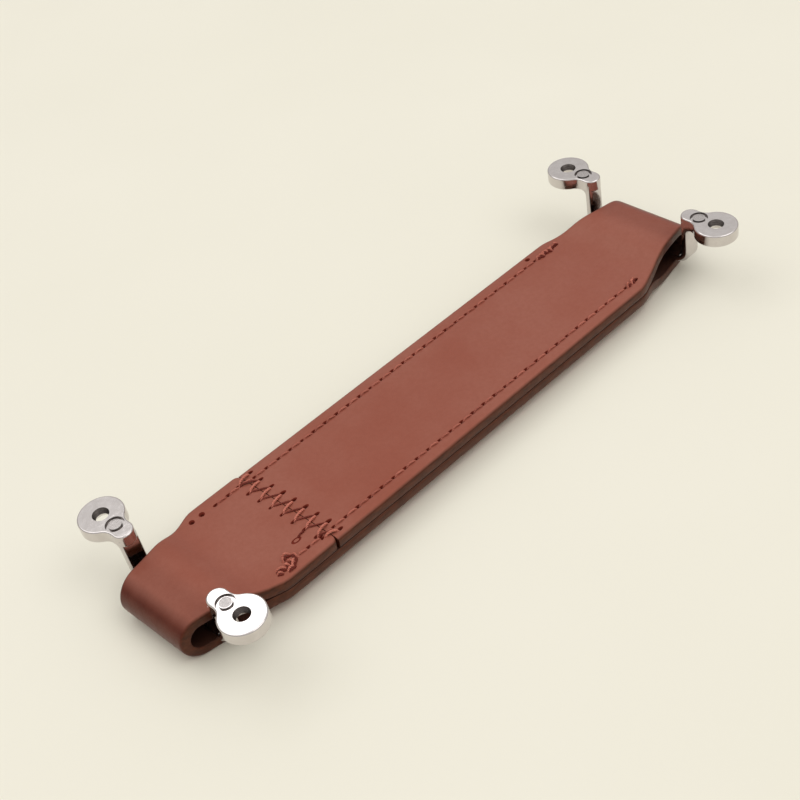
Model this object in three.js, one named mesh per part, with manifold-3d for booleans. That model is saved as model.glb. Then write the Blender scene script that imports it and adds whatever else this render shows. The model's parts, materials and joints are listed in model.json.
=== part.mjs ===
// Leather cabinet pull: a folded leather strap with a cast bracket in the loop at each end.
// It lies on its front face, as it comes out of the bag: back of the strap and screw lugs up.
// Millimetres. +X runs along the strap, +Y across it, +Z up. The origin is under the middle of
// the strap, on the surface that the two loops lie on.

import * as THREE from 'three';
import { mergeVertices } from 'three/addons/utils/BufferGeometryUtils.js';
import Module from 'manifold-3d';

const wasm = await Module();
wasm.setup();

// Strap: one leather strip, folded at both ends, its two ends butted under the zigzag seam
const strapLength = 155;
const strapWidth = 30;
const layerThickness = 2.55;
const layerGap = 0.2;
const foldThickness = 2.2;
const hollowFlat = 5.5;
const taperLengthLeft = 22.5;
const taperLengthRight = 23.6;
const foldWidth = 19;
const taperReach = 11.5;
const taperDrop = 4.1;
const cornerRound = 1.5;

// Butt seam across the back layer
const seamFromFold = 36;
const seamGap = 0.2;
const seamCornerRound = 1.1;

// Sewing
const threadSize = 0.5;
const threadLift = 0.1;
const threadShoulder = 0.45;
const threadMeetGap = 0.4;
const needleHole = 1.06;
const rowInset = 3.2;
const rowLeftPastBody = 1.5;
const rowRightPastBody = 0.6;
const rowToFlare = 0.95;
const rowPitch = 3.38;
const zigzagWidth = 4.2;
const zigzagPitch = 3.36;
const zigzagReturn = 1.15;
const zigzagInset = 4.8;
const zigzagThreadDepth = 2;

// Cast brackets, one in each loop
const bracketLeftFromFold = 8.6;
const bracketRightFromFold = 5.6;
const bracketLeftLean = 4;
const bracketRightLean = 0;
const barDrop = 1;
const barThickness = 1.9;
const barWidth = 4.2;
const barEdgeRadius = 0.7;
const swingClearance = 0.07;
const legGap = 25.8;
const legThickness = 1.9;
const cornerOuterRadius = 3.5;
const cornerInnerRadius = 1.2;
const lugRootRadius = 1.4;
const lugHeight = 10.95;
const lugThickness = 2.9;
const lugEdgeRadius = 0.35;
const screwSpan = 42.4;
const lugDiscRadius = 4.9;
const lugNeckRadius = 2.24;
const lugNeckPlace = 14.35;
const lugFlareRadius = 3;
const screwHole = 3.4;
const screwHoleChamfer = 0.3;
const pinMarkPlace = 16.6;
const pinMarkRadius = 2.1;
const pinMarkWidth = 0.3;
const pinMarkDepth = 0.15;

// The loop's hollow is as high as the crossbar needs to turn right round in it
const barCornerX = barWidth / 2 - barEdgeRadius;
const barCornerZ = barDrop + barThickness / 2 - barEdgeRadius;
const hollowHalf = Math.hypot(barCornerX, barCornerZ) + barEdgeRadius + swingClearance;

const bodyHalf = layerThickness + layerGap / 2;
const loopHalf = hollowHalf + foldThickness;
const midHeight = loopHalf;
const foldEnd = strapLength / 2;
const foldCentre = foldEnd - loopHalf;
const hollowStart = foldCentre - hollowFlat;
const bodyEndLeft = foldEnd - taperLengthLeft;
const bodyEndRight = foldEnd - taperLengthRight;
const rowStart = -bodyEndLeft - rowLeftPastBody;
const rowEnd = bodyEndRight + rowRightPastBody;
const seamPlace = seamFromFold - foldEnd;

// Points closer together than this are one point
const samePoint = 1e-4;

function solidFrom(geometry) {
  const bare = geometry.index ? geometry.toNonIndexed() : geometry.clone();
  bare.deleteAttribute('normal');
  bare.deleteAttribute('uv');
  const merged = mergeVertices(bare, samePoint);
  const mesh = new wasm.Mesh({
    numProp: 3,
    vertProperties: Float32Array.from(merged.attributes.position.array),
    triVerts: Uint32Array.from(merged.index.array),
  });
  return new wasm.Manifold(mesh);
}

function geometryFrom(solid) {
  const mesh = solid.getMesh();
  const geometry = new THREE.BufferGeometry();
  geometry.setAttribute('position', new THREE.BufferAttribute(mesh.vertProperties, 3));
  geometry.setIndex(new THREE.BufferAttribute(mesh.triVerts, 1));
  geometry.computeVertexNormals();
  return geometry;
}

function joined(solids) {
  return solids.reduce((whole, solid) => whole.add(solid));
}

// The points of an outline, with each curve divided into short lines and no point twice
function outlinePoints(path, divisions) {
  const points = path.getPoints(divisions);
  return points.filter((point, i) => point.distanceTo(points[(i + 1) % points.length]) > samePoint);
}

// A shape drawn in X and Z, given a width in Y and centred on it
function acrossStrap(shape, width) {
  const geometry = new THREE.ExtrudeGeometry(shape, { depth: width, bevelEnabled: false });
  geometry.rotateX(Math.PI / 2);
  geometry.translate(0, width / 2, 0);
  return geometry;
}

function uprightCylinder(radiusTop, radiusBottom, height, sides, x, y, z) {
  const geometry = new THREE.CylinderGeometry(radiusTop, radiusBottom, height, sides);
  geometry.rotateX(Math.PI / 2);
  geometry.translate(x, y, z);
  return solidFrom(geometry);
}

// Side outline of one end of the strap: from the flat body over the flare, round the fold and back
function endOutline(flareStart, bodyHeight, loopHeight) {
  const flareMiddle = (flareStart + hollowStart) / 2;
  const path = new THREE.Path();
  path.moveTo(flareStart, bodyHeight);
  path.bezierCurveTo(flareMiddle, bodyHeight, flareMiddle, loopHeight, hollowStart, loopHeight);
  path.lineTo(foldCentre, loopHeight);
  path.absarc(foldCentre, 0, loopHeight, Math.PI / 2, -Math.PI / 2, true);
  path.lineTo(hollowStart, -loopHeight);
  path.bezierCurveTo(flareMiddle, -loopHeight, flareMiddle, -bodyHeight, flareStart, -bodyHeight);
  return outlinePoints(path, 8);
}

// Side outline of the whole strap. Each flare starts a little past the last stitches.
function sideOutline(bodyHeight, loopHeight) {
  const right = endOutline(rowEnd + rowToFlare, bodyHeight, loopHeight);
  const left = endOutline(rowToFlare - rowStart, bodyHeight, loopHeight);
  return [...right, ...left.map((point) => new THREE.Vector2(-point.x, point.y)).reverse()];
}

// One corner of the strap's plan: from the parallel body round into the taper and to the fold
function taperOutline(bodyEnd) {
  const halfWidth = strapWidth / 2;
  const slope = Math.atan2(taperDrop, taperReach);
  const roundX = bodyEnd + cornerRound * Math.cos(slope);
  const roundY = halfWidth - cornerRound * Math.sin(slope);
  const path = new THREE.Path();
  path.moveTo(bodyEnd - cornerRound, halfWidth);
  path.quadraticCurveTo(bodyEnd, halfWidth, roundX, roundY);
  path.quadraticCurveTo(bodyEnd + taperReach, halfWidth - taperDrop, foldEnd, foldWidth / 2);
  return outlinePoints(path, 6);
}

function planOutline() {
  const right = taperOutline(bodyEndRight);
  const left = taperOutline(bodyEndLeft).map((point) => new THREE.Vector2(-point.x, point.y));
  const far = [...left.reverse(), ...right];
  const near = far.map((point) => new THREE.Vector2(point.x, -point.y)).reverse();
  return new THREE.Shape([...far, ...near]);
}

// Cutter for the butt seam: a slit between the strip's two ends, wider where the end that is
// nearer the left fold has its corners rounded off
function seamCutter() {
  const halfWidth = strapWidth / 2;
  const past = halfWidth + seamGap;
  const shape = new THREE.Shape();
  shape.moveTo(seamGap / 2, -past);
  shape.lineTo(seamGap / 2, past);
  shape.lineTo(-seamGap / 2 - seamCornerRound, past);
  shape.lineTo(-seamGap / 2 - seamCornerRound, halfWidth);
  shape.quadraticCurveTo(-seamGap / 2, halfWidth, -seamGap / 2, halfWidth - seamCornerRound);
  shape.lineTo(-seamGap / 2, seamCornerRound - halfWidth);
  shape.quadraticCurveTo(-seamGap / 2, -halfWidth, -seamGap / 2 - seamCornerRound, -halfWidth);
  shape.lineTo(-seamGap / 2 - seamCornerRound, -past);
  const outline = new THREE.Shape(outlinePoints(shape, 4));
  const geometry = new THREE.ExtrudeGeometry(outline, { depth: loopHalf, bevelEnabled: false });
  geometry.translate(seamPlace, 0, midHeight);
  return solidFrom(geometry);
}

// Needle holes, as points in plan
function rowHoles(y) {
  const stitches = Math.round((rowEnd - rowStart) / rowPitch);
  const holes = [];
  for (let i = 0; i <= stitches; i += 1) {
    holes.push(new THREE.Vector2(rowStart + (i * (rowEnd - rowStart)) / stitches, y));
  }
  return holes;
}

function zigzagHoles() {
  const first = strapWidth / 2 - zigzagInset;
  const crossings = Math.floor((2 * first) / zigzagPitch);
  const holes = [];
  for (let i = 0; i <= crossings; i += 1) {
    const y = first - i * zigzagPitch;
    holes.push(new THREE.Vector2(seamPlace + zigzagWidth / 2, y));
    holes.push(new THREE.Vector2(seamPlace - zigzagWidth / 2, y - zigzagReturn));
  }
  return holes;
}

// One stitch seen from the side: a flat bridge on the leather and a leg down the hole at its end.
// The first stitch of a run has a leg at its start as well.
// side is 1 on the back of the strap and -1 on its front.
function stitchShape(span, legDepth, side, isFirst) {
  const half = span / 2;
  const leg = threadSize / 2;
  const top = threadLift + threadSize;
  const startLeg = [
    new THREE.Vector2(-half - leg, -legDepth),
    new THREE.Vector2(-half + leg, -legDepth),
    new THREE.Vector2(-half + leg, threadLift),
  ];
  const points = [
    ...(isFirst ? startLeg : []),
    new THREE.Vector2(half - leg, threadLift),
    new THREE.Vector2(half - leg, -legDepth),
    new THREE.Vector2(half + leg, -legDepth),
    new THREE.Vector2(half + leg, threadLift),
    new THREE.Vector2(half + leg - threadShoulder, top),
    new THREE.Vector2(-half - leg + threadShoulder, top),
    new THREE.Vector2(-half - leg, threadLift),
  ];
  return new THREE.Shape(points.map((point) => new THREE.Vector2(point.x, side * point.y)));
}

// A run of thread from hole to hole on one side of the strap
function threadRun(holes, surface, legDepth, side) {
  const stitches = [];
  for (let i = 0; i + 1 < holes.length; i += 1) {
    const step = holes[i + 1].clone().sub(holes[i]);
    const middle = holes[i].clone().add(holes[i + 1]).multiplyScalar(0.5);
    const geometry = acrossStrap(stitchShape(step.length(), legDepth, side, i === 0), threadSize);
    geometry.rotateZ(step.angle());
    geometry.translate(middle.x, middle.y, surface);
    stitches.push(solidFrom(geometry));
  }
  return geometryFrom(joined(stitches));
}

function needleCutter(hole, height, z) {
  return uprightCylinder(needleHole / 2, needleHole / 2, height, 6, hole.x, hole.y, z);
}

function leatherStrap(edgeHoles, seamHoles) {
  const side = new THREE.Shape(sideOutline(bodyHalf, loopHalf));
  side.holes.push(new THREE.Path(sideOutline(layerGap / 2, hollowHalf).reverse()));
  const folded = acrossStrap(side, strapWidth + 2);
  folded.translate(0, 0, midHeight);
  const plan = new THREE.ExtrudeGeometry(planOutline(), {
    depth: 2 * loopHalf,
    bevelEnabled: false,
  });
  const cutters = [
    seamCutter(),
    ...edgeHoles.map((hole) => needleCutter(hole, 2 * loopHalf, midHeight)),
    ...seamHoles.map((hole) => needleCutter(hole, 2 * bodyHalf, midHeight + bodyHalf)),
  ];
  return geometryFrom(solidFrom(folded).intersect(solidFrom(plan)).subtract(joined(cutters)));
}

// Half of the crossbar and one leg of a bracket, from the middle of the bar's underside round to
// the middle of its top, drawn in Y and Z about the middle of the loop's hollow
function halfYoke() {
  const inside = legGap / 2;
  const outside = inside + legThickness;
  const barTop = barThickness / 2 - barDrop;
  const barBottom = -barThickness / 2 - barDrop;
  const outerX = outside - cornerOuterRadius;
  const outerY = barBottom + cornerOuterRadius;
  const innerX = inside - cornerInnerRadius;
  const innerY = barTop + cornerInnerRadius;
  const rootX = outside + lugRootRadius;
  const rootY = lugHeight - lugThickness - lugRootRadius;
  const legTop = lugHeight - lugThickness / 2;
  const path = new THREE.Path();
  path.moveTo(outerX, barBottom);
  path.absarc(outerX, outerY, cornerOuterRadius, -Math.PI / 2, 0, false);
  path.lineTo(outside, rootY);
  path.absarc(rootX, rootY, lugRootRadius, Math.PI, Math.PI / 2, true);
  path.lineTo(rootX, legTop);
  path.lineTo(inside, legTop);
  path.lineTo(inside, innerY);
  path.absarc(innerX, innerY, cornerInnerRadius, 0, -Math.PI / 2, true);
  return outlinePoints(path, 4);
}

function yokeShape() {
  const right = halfYoke();
  const left = right.map((point) => new THREE.Vector2(-point.x, point.y)).reverse();
  return new THREE.Shape([...right, ...left]);
}

// Keyhole-shaped lug in plan: a neck over the leg that flares into the disc round the screw hole.
// side is 1 for the lug at +Y and -1 for the lug at -Y.
function lugShape(side) {
  const discPlace = screwSpan / 2;
  const flareX = lugNeckRadius + lugFlareRadius;
  const centreDistance = lugDiscRadius + lugFlareRadius;
  const flareY = discPlace - Math.sqrt(centreDistance ** 2 - flareX ** 2);
  const turn = Math.acos(flareX / centreDistance);
  const shape = new THREE.Shape();
  shape.absarc(0, lugNeckPlace, lugNeckRadius, Math.PI, 2 * Math.PI, false);
  shape.absarc(flareX, flareY, lugFlareRadius, Math.PI, Math.PI - turn, true);
  shape.absarc(0, discPlace, lugDiscRadius, -turn, Math.PI + turn, false);
  shape.absarc(-flareX, flareY, lugFlareRadius, turn, 0, true);
  const points = outlinePoints(shape, 6);
  return new THREE.Shape(points.map((point) => new THREE.Vector2(point.x, side * point.y)));
}

function lugSolid(side) {
  const geometry = new THREE.ExtrudeGeometry(lugShape(side), {
    depth: lugThickness - 2 * lugEdgeRadius,
    bevelThickness: lugEdgeRadius,
    bevelSize: lugEdgeRadius,
    bevelOffset: -lugEdgeRadius,
    bevelSegments: 1,
  });
  geometry.translate(0, 0, lugHeight - lugThickness + lugEdgeRadius);
  return solidFrom(geometry);
}

function lugCutters(side) {
  const radius = screwHole / 2;
  const screwY = (side * screwSpan) / 2;
  const through = uprightCylinder(radius, radius, 2 * lugThickness, 16, 0, screwY, lugHeight);
  const wide = radius + 2 * screwHoleChamfer;
  const chamfer = uprightCylinder(wide, radius, 2 * screwHoleChamfer, 16, 0, screwY, lugHeight);
  const markY = side * pinMarkPlace;
  const pin = uprightCylinder(pinMarkRadius, pinMarkRadius, 2 * pinMarkDepth, 16, 0, markY, lugHeight);
  const inner = pinMarkRadius - pinMarkWidth;
  const core = uprightCylinder(inner, inner, 4 * pinMarkDepth, 16, 0, markY, lugHeight);
  return through.add(chamfer).add(pin.subtract(core));
}

function bracketGeometry() {
  const yoke = new THREE.ExtrudeGeometry(yokeShape(), {
    depth: barWidth - 2 * barEdgeRadius,
    bevelThickness: barEdgeRadius,
    bevelSize: barEdgeRadius,
    bevelOffset: -barEdgeRadius,
    bevelSegments: 2,
  });
  yoke.translate(0, 0, barEdgeRadius - barWidth / 2);
  yoke.applyMatrix4(new THREE.Matrix4().makeBasis(
    new THREE.Vector3(0, 1, 0),
    new THREE.Vector3(0, 0, 1),
    new THREE.Vector3(1, 0, 0),
  ));
  const cast = joined([solidFrom(yoke), lugSolid(1), lugSolid(-1)]);
  return geometryFrom(cast.subtract(lugCutters(1)).subtract(lugCutters(-1)));
}

const leather = new THREE.MeshStandardMaterial({ color: 0x985c4a, roughness: 0.55, metalness: 0 });
const sewingThread = new THREE.MeshStandardMaterial({ color: 0x7d2f22, roughness: 0.7, metalness: 0 });
const polishedMetal = new THREE.MeshStandardMaterial({ color: 0xd2cdca, roughness: 0.12, metalness: 1 });

const pull = new THREE.Group();

function addPiece(name, geometry, material, parent = pull) {
  const mesh = new THREE.Mesh(geometry, material);
  mesh.name = name;
  parent.add(mesh);
}

const rowY = strapWidth / 2 - rowInset;
const nearHoles = rowHoles(-rowY);
const farHoles = rowHoles(rowY);
const seamHoles = zigzagHoles();
addPiece('leather_strap', leatherStrap([...nearHoles, ...farHoles], seamHoles), leather);

const backSurface = midHeight + bodyHalf;
const frontSurface = midHeight - bodyHalf;
const rowLegDepth = bodyHalf - threadMeetGap / 2;
addPiece('edge_thread_near_back', threadRun(nearHoles, backSurface, rowLegDepth, 1), sewingThread);
addPiece('edge_thread_far_back', threadRun(farHoles, backSurface, rowLegDepth, 1), sewingThread);
addPiece('edge_thread_near_front', threadRun(nearHoles, frontSurface, rowLegDepth, -1), sewingThread);
addPiece('edge_thread_far_front', threadRun(farHoles, frontSurface, rowLegDepth, -1), sewingThread);
addPiece('seam_thread', threadRun(seamHoles, backSurface, zigzagThreadDepth, 1), sewingThread);

function addBracket(name, place, lean) {
  const swing = new THREE.Group();
  swing.position.set(place, 0, midHeight);
  swing.rotation.y = THREE.MathUtils.degToRad(lean);
  addPiece(name, bracketGeometry(), polishedMetal, swing);
  pull.add(swing);
}

addBracket('bracket_left', bracketLeftFromFold - foldEnd, -bracketLeftLean);
addBracket('bracket_right', foldEnd - bracketRightFromFold, bracketRightLean);

export default pull;
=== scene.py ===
import json
import math
import random

import bmesh
import bpy
import numpy as np
from mathutils import Matrix, Vector


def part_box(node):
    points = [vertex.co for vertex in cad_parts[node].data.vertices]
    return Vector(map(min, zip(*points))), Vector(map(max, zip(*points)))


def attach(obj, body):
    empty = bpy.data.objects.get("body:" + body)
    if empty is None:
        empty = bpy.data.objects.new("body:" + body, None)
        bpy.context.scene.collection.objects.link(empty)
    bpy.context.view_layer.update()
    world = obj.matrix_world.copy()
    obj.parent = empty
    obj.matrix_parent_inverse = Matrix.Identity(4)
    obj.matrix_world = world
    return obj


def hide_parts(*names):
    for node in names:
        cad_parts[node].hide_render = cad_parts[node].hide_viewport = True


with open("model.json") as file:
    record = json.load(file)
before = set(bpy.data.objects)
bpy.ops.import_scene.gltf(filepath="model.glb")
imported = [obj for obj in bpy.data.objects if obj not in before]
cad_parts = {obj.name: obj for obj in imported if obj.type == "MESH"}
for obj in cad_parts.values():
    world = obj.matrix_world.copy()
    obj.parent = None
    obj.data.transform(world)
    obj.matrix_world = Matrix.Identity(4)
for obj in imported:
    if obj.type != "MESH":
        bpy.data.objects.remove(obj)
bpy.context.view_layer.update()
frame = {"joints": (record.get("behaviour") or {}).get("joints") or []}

# Metres in a millimetre
MM = 0.001

# Strap sizes in millimetres; length, width and loop height come from the frame
strap_low, strap_high = [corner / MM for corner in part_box("leather_strap")]
FOLD_END = strap_high.x
HALF_WIDTH = strap_high.y
LOOP_HALF = strap_high.z / 2
MID_HEIGHT = LOOP_HALF
FOLD_THICKNESS = 2.2
LAYER_THICKNESS = 2.55
LAYER_GAP = 0.2
HOLLOW_HALF = LOOP_HALF - FOLD_THICKNESS
BODY_HALF = LAYER_THICKNESS + LAYER_GAP / 2
FOLD_CENTRE = FOLD_END - LOOP_HALF
HOLLOW_START = FOLD_CENTRE - 5.5
BODY_END_LEFT = 55.0
BODY_END_RIGHT = 53.9
FLARE_START_LEFT = BODY_END_LEFT + 2.45
FLARE_START_RIGHT = BODY_END_RIGHT + 1.55
CORNER_ROUND = 1.5
TAPER_REACH = 11.5
TAPER_DROP = 4.1
FOLD_HALF_WIDTH = 9.5
LAYER_STEP = 1.0
FOLD_STEPS = 40

# Edge section: rounding, its angles in degrees, where the paint begins, and the wall between
OUTER_ROUND = 0.6
OUTER_ANGLES = (22, 45, 67, 90)
INNER_ROUND = 0.25
INNER_ANGLES = (90, 45, 0)
PAINT_START = 0.15
WALL_SHARES = (0.33, 0.66)
WALL_SWELL = 0.04
INNER_SHARES = (0.8, 0.5, 0.2, -0.2, -0.5, -0.8)

# Painted shade: share on the loops, the length in which it comes in, and degrees of the fold's turn
LOOP_SHADE = 0.24
LOOP_SHADE_REACH = 3.0
FOLD_SHADE_FROM = 12
FOLD_SHADE_TO = 48

# Butt seam and sewing; the steps are places of the mesh's lines beside the seam, from a row's
# middle, and from the strap's middle
SEAM_X = -41.5
SEAM_GAP = 0.2
SEAM_ROUND = 1.1
SEAM_STEPS = (0, 0.08, 0.2, 0.4, 0.7, 1.1)
SEAM_CLEAR = 1.5
ROW_Y = HALF_WIDTH - 3.2
ROW_START = -56.5
ROW_LENGTH = 111.0
ROW_STITCHES = 33
ROW_STEPS = (-1.6, -1.1, -0.75, -0.45, -0.2, 0, 0.2, 0.45, 0.75, 1.1, 1.6)
PLAIN_STEPS = (0, 1.5, 3, 4.5, 6, 7.5, 8.8)
LAST_STEP = 0.4
ZIGZAG_WIDTH = 4.2
ZIGZAG_PITCH = 3.36
ZIGZAG_RETURN = 1.15
ZIGZAG_FIRST = HALF_WIDTH - 4.8
ZIGZAG_CROSSINGS = 7
ZIGZAG_INSET = 2.5
ZIGZAG_LAST_SHIFT = 0.5
ZIGZAG_LAST_INSET = 2.6
SURFACE_PULL = 0.13
VALLEY_HALF = 0.75
VALLEY_END = 0.6
EDGE_FALL = 0.42
FAR_STEP = 0.45
FAR_STEP_END = 60.0
FAR_STEP_FADE = 5.0

# Needle holes: width, (radius, height) of the cutter in widths, variation, and stretch in X and Y
NEEDLE_SLIT = 0.42
SLIT_PROFILE = ((1.3, 0.5), (1.3, 0.03), (1.08, -0.05), (0.9, -0.16), (0.78, -0.4), (0.7, -1.3))
SLIT_SIDES = 14
SLIT_VARIATION = (0.88, 1.15)
ROW_SLIT = (1.55, 0.72)
SEAM_SLIT_RIGHT = (1.7, 0.85)
SEAM_SLIT_LEFT = (1.35, 0.75)
STRAY_SLIT = (1.2, 1.05)
HOLE_SEED = 4

# Thread: radius, height over the leather and painted light of each kind of stitch, and its plies;
# raised stitches get painted highlight and sunk ones painted shade
ROW_THREAD = 0.25
ROW_RISE = 0.17
ROW_LIGHT = (0.5, 0.8)
ZIGZAG_THREAD = 0.3
ZIGZAG_RISE = 0.3
ZIGZAG_LIGHT = 1.0
SUNK_THREAD = 0.23
SUNK_RISE = 0.12
SUNK_LIGHT = 0.1
OVER_ROW_RISE = 0.2
OVER_ROW_REACH = 1.2
LOOSE_RISE = 0.14
TACK_THREAD = 0.28
TACK_RISE = 0.34
TACK_RISE_STEP = 0.14
TACK_LIGHT = (0.75, 1.0)
TACK_REACH = 0.1
TACK_SPACING = 0.5
SLIT_REACH = 0.5
STITCH_DIP = 1.0
STITCH_INSET = 0.1
STITCH_SLANT = 0.1
SLANT_VARIATION = 0.05
RISE_VARIATION = (-0.03, 0.05)
MOUTH_DIP = 0.3
MOUTH_SHARE = 0.16
SHOULDER_PAST = 0.45
SHOULDER_SHARE = 0.34
PLIES = 3
PLY_SIDES = 5
PLY_PITCH = 1.5
PLY_SHARE = 0.54
CURVE_STEP = 0.16
CURVE_SAMPLES = 8
OFF_THREAD = (0.3, 0.2, 1.0)
THREAD_SEED = 11

# Knotted row ends, as short stitches from place to place; holes left without thread; a scuff
TACKS = {
    "near_left": (
        ((-55.2, -12.2), (-53.9, -12.7)),
        ((-54.8, -11.4), (-52.6, -12.5)),
        ((-53.1, -11.5), (-51.8, -12.6)),
        ((-53.3, -13.2), (-51.3, -13.0)),
        ((-52.2, -11.0), (-51.5, -9.7)),
        ((-51.7, -9.6), (-49.8, -10.3)),
        ((-49.6, -10.4), (-49.4, -12.2)),
        ((-52.0, -13.3), (-50.2, -11.6)),
        ((-51.9, -11.1), (-50.6, -12.9)),
    ),
    "near_right": (
        ((54.9, -11.0), (53.4, -11.8)),
        ((54.0, -11.0), (53.0, -12.3)),
        ((52.7, -11.2), (51.5, -12.2)),
    ),
    "far_right": (
        ((55.9, 12.1), (54.5, 12.3)),
        ((53.6, 12.5), (52.9, 11.1)),
        ((53.2, 11.0), (52.0, 12.2)),
        ((52.3, 11.3), (51.2, 12.5)),
        ((51.1, 12.6), (50.5, 11.3)),
        ((50.7, 11.5), (48.9, 12.0)),
        ((49.6, 12.4), (48.4, 11.6)),
    ),
}
STRAY_HOLES = ((-56.0, 12.45), (-53.3, 12.5), (47.1, 13.5))
BARE_STITCHES = {"near": 1, "far": 2}
SCUFF_PLACE = (-46.7, -8.6)
SCUFF_RADIUS = 0.62
SCUFF_GROOVE = 0.24
SCUFF_RISE = 0.1
SCUFF_STRETCH = (1.5, 0.8)
SCUFF_SIDES = 48
SCUFF_GROOVE_SIDES = 8
LOOSE_END = ((-46.1, -8.3), (-43.8, -7.8))

# Bracket sizes in millimetres, about the hinge in the middle of the loop's hollow
BAR_DROP = 1.0
BAR_THICKNESS = 1.9
BAR_WIDTH = 4.2
BAR_EDGE = 0.7
LEG_MIDDLE = 13.85
CORNER_RADIUS = 2.55
LUG_TOP = 10.95
LUG_THICKNESS = 2.9
LUG_EDGE = 0.35
LUG_ROOT = 1.4
SCREW_Y = 21.2
DISC_RADIUS = 4.9
NECK_RADIUS = 2.24
NECK_Y = 14.35
FLARE_RADIUS = 3.0
TAP_CORE = 1.45
TAP_CREST = 1.65
TAP_PITCH = 0.5
TAP_TURNS = 2
TAP_SINK = 2.5
TAP_PAST = 0.4
TAP_TOP = LUG_TOP - 0.2
TAP_END = TAP_TOP - TAP_PITCH * (TAP_TURNS + 0.5)
PIN_MARK_Y = 16.6
PIN_MARK_RADIUS = 2.02
PIN_RADIUS = 1.38
PIN_MARK_DEPTH = 0.45
PIN_MARK_PAST = 0.3
PIN_DISH = 0.06
PIN_DISH_RIM = PIN_RADIUS - 0.12
PIN_DISH_FOOT = PIN_RADIUS - 0.15
PIN_DISH_CENTRE = 0.5
BRACKET_LEAN = {"left": -4.0, "right": 0.0}

# Steps along the bracket's curves, and sides of its round holes
BAR_CORNER_ANGLES = range(0, 91, 15)
BAR_STEPS = 12
BEND_STEPS = 16
LEG_STEPS = 30
LUG_EDGE_STEPS = 5
NECK_STEPS = 32
FLARE_STEPS = 14
DISC_STEPS = 72
TAP_SIDES = 48
PIN_MARK_SIDES = 64
PIN_SIDES = 40

# Angles in degrees above which an edge is shaded sharp
STRAP_SHARP = 50
THREAD_SHARP = 80
METAL_SHARP = 38

# Camera fitted to the photograph: degrees, millimetres, and pixels of an 800-pixel frame
CAMERA_AZIMUTH = -38.43
CAMERA_ELEVATION = 40.21
CAMERA_ROLL = -11.05
CAMERA_DISTANCE = 342.62
CAMERA_TARGET = Vector((-1.38, 8.51, 2.2))
FOCAL_PIXELS = 1590
FRAME_PIXELS = 800
SENSOR_WIDTH = 36

# Half the side of the stage's square floor in metres
HALF_FLOOR = 8.0

# Light: world radiance, strength and direction of the two wide soft lights, width in degrees,
# and power, place and target of the small panel that one lug mirrors
ZENITH_LIGHT = 0.95
HORIZON_LIGHT = 0.35
GRADIENT_TOP = 0.9
WARM_WHITE = (1.0, 0.985, 0.96)
BACKGROUND = (0.84, 0.81, 0.70, 1)
KEY_LIGHT = 0.36
KEY_FROM = (-0.3, 0.45, 0.85)
FILL_LIGHT = 0.56
FILL_FROM = (0.25, -0.5, 0.85)
LIGHT_WIDTH = 45
GLINT_POWER = 0.14
GLINT_SIZE = 0.15
GLINT_PLACE = (0.157, 0.575, 0.785)
GLINT_TARGET = (-0.07, -0.021, 0.016)

# Colours as they are seen on screen, from 0 to 255; noise mixes the two of a pair
LEATHER_PATCHES = ((143, 76, 60), (149, 87, 72))
LEATHER_GRAIN = (131, 66, 50)
# Painted shade on the folds and loops
LEATHER_FOLD_PAINTED_SHADE = (76, 22, 9)
# Painted shade for the inner face, seen in the loops' hollows
LEATHER_INSIDE_PAINTED_SHADE = (54, 27, 18)
EDGE_PAINT = ((50, 18, 7), (86, 40, 22))
# Painted shade in the needle holes and the scuff's groove
HOLE_PAINTED_SHADE = ((92, 28, 16), (124, 46, 30))
# Thread colours for painted shade and painted highlight; the light attribute mixes them
THREAD_PAINTED_SHADE = ((88, 24, 14), (120, 44, 30))
THREAD_PAINTED_HIGHLIGHT = ((178, 96, 78), (210, 134, 115))
PALE_BOARD = ((232, 228, 212), (237, 233, 219))

# Colours as linear light
LEATHER_GLOSS = (1.0, 0.74, 0.6, 1.0)
POLISHED_METAL = ((0.60, 0.56, 0.55, 1), (0.66, 0.62, 0.61, 1))
# Painted shade in the tapped holes and the pin marks' grooves
BORE_PAINTED_SHADE = ((0.06, 0.05, 0.045, 1), (0.2, 0.175, 0.165, 1))
PIN_METAL = ((0.42, 0.39, 0.38, 1), (0.62, 0.58, 0.57, 1))

# Sockets of a Mix node for colours
MIX_FIRST = 6
MIX_SECOND = 7
MIX_RESULT = 2


def make_camera():
    """A camera turned round the Z axis, raised and rolled as in the photograph."""
    azimuth = math.radians(CAMERA_AZIMUTH)
    elevation = math.radians(CAMERA_ELEVATION)
    roll = math.radians(CAMERA_ROLL)
    back = Vector((
        math.sin(azimuth) * math.cos(elevation),
        -math.cos(azimuth) * math.cos(elevation),
        math.sin(elevation),
    ))
    right = (-back).cross(Vector((0, 0, 1))).normalized()
    up = right.cross(-back)
    rolled_right = math.cos(roll) * right + math.sin(roll) * up
    rolled_up = math.cos(roll) * up - math.sin(roll) * right
    data = bpy.data.cameras.new("camera")
    data.sensor_width = SENSOR_WIDTH
    data.lens = FOCAL_PIXELS / FRAME_PIXELS * SENSOR_WIDTH
    data.clip_start = 0.01
    data.clip_end = 10
    camera = bpy.data.objects.new("camera", data)
    bpy.context.scene.collection.objects.link(camera)
    place = (CAMERA_TARGET + back * CAMERA_DISTANCE) * MM
    turn = Matrix((rolled_right, rolled_up, back)).transposed()
    camera.matrix_world = Matrix.Translation(place) @ turn.to_4x4()
    bpy.context.scene.camera = camera


def add_object(name, vertices, faces, material):
    """A mesh object in millimetres; settle() brings it to metres."""
    mesh = bpy.data.meshes.new(name)
    mesh.from_pydata(vertices, [], faces)
    mesh.update()
    mesh.materials.append(material)
    piece = bpy.data.objects.new(name, mesh)
    bpy.context.scene.collection.objects.link(piece)
    return piece


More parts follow.
